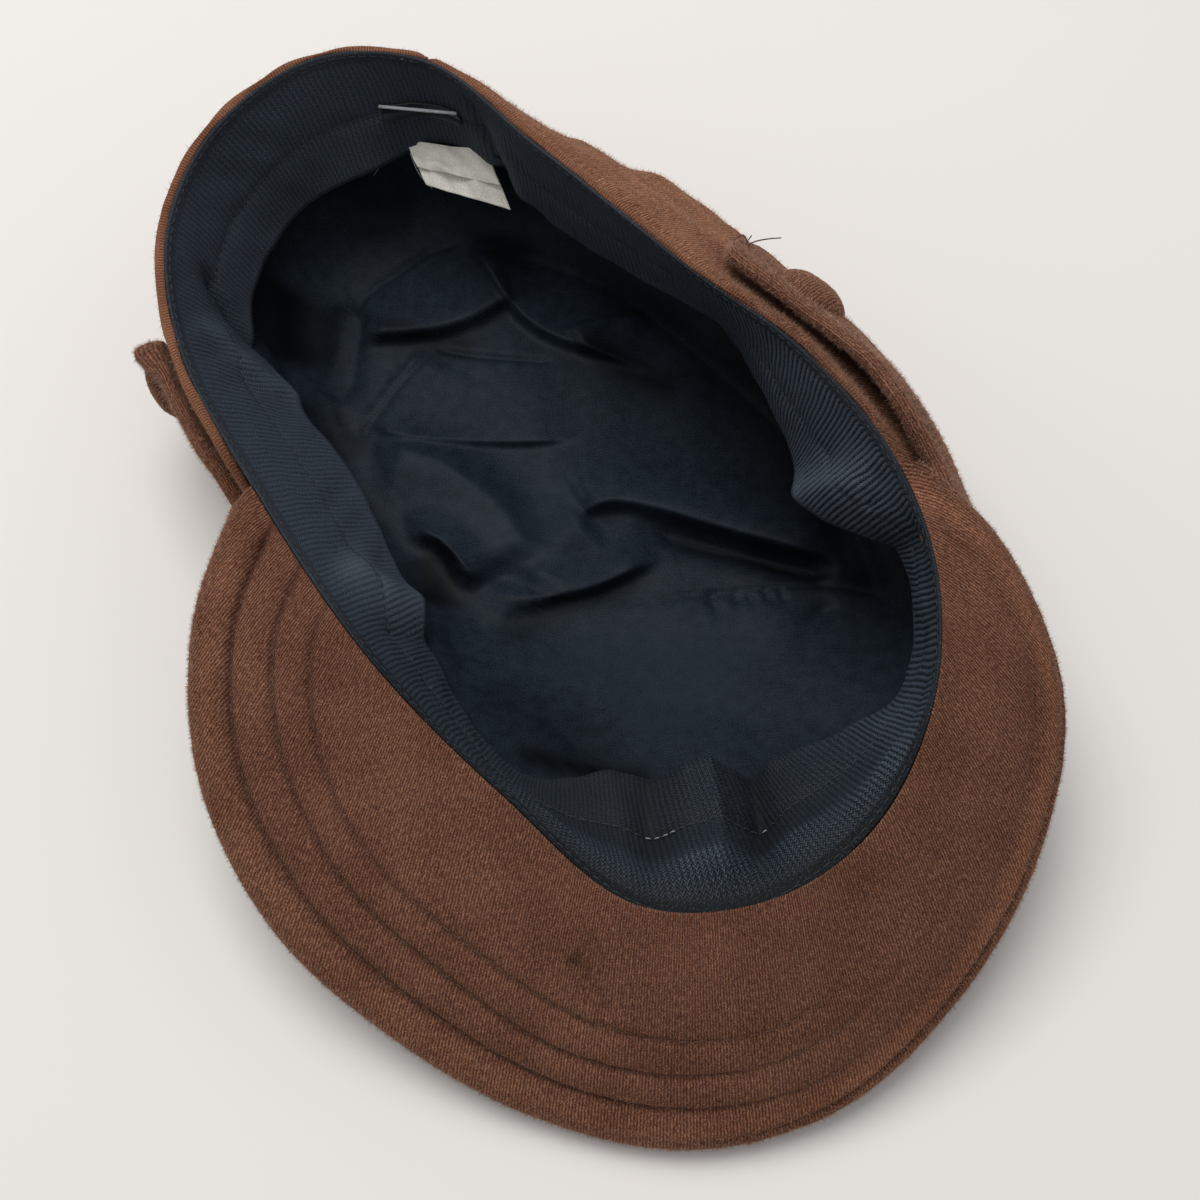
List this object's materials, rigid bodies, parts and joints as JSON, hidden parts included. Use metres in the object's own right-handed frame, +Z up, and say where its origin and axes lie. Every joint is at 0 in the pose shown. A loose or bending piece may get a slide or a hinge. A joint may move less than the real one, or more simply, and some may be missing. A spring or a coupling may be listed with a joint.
{
  "type": "army cap",
  "caption": "Soft brown cotton field cap with a stitched peak, front strap and buttons, lying upside down with its lined hollow open.",
  "frame": {"origin": "on the surface that the cap lies on, below the middle of its bounding box", "axes": "+Z up out of the head opening, with the cap upside down; the peak points to -Y; +X is the right-hand side seen from the peak"},
  "size_m": [0.2125, 0.2554, 0.0726],
  "materials": {
    "brushed_cotton": "brown brushed cotton twill, matt, with short fuzz",
    "ribbed_ribbon": "navy-black cross-ribbed ribbon, soft sheen",
    "cotton_sateen": "navy-black cotton sateen, soft sheen",
    "label_satin": "yellowed off-white label tape, bare",
    "woven_tape": "black woven label tape, bare"
  },
  "bodies": {
    "root": {"crown_top": "brushed_cotton", "crown_side_right": "brushed_cotton", "crown_side_left": "brushed_cotton", "peak": "brushed_cotton", "sweatband": "ribbed_ribbon", "lining_top": "cotton_sateen", "lining_side": "cotton_sateen", "front_strap": "brushed_cotton", "button_right": "brushed_cotton", "button_left": "brushed_cotton", "care_label": "label_satin", "woven_label": "woven_tape"}
  },
  "joints": []
}
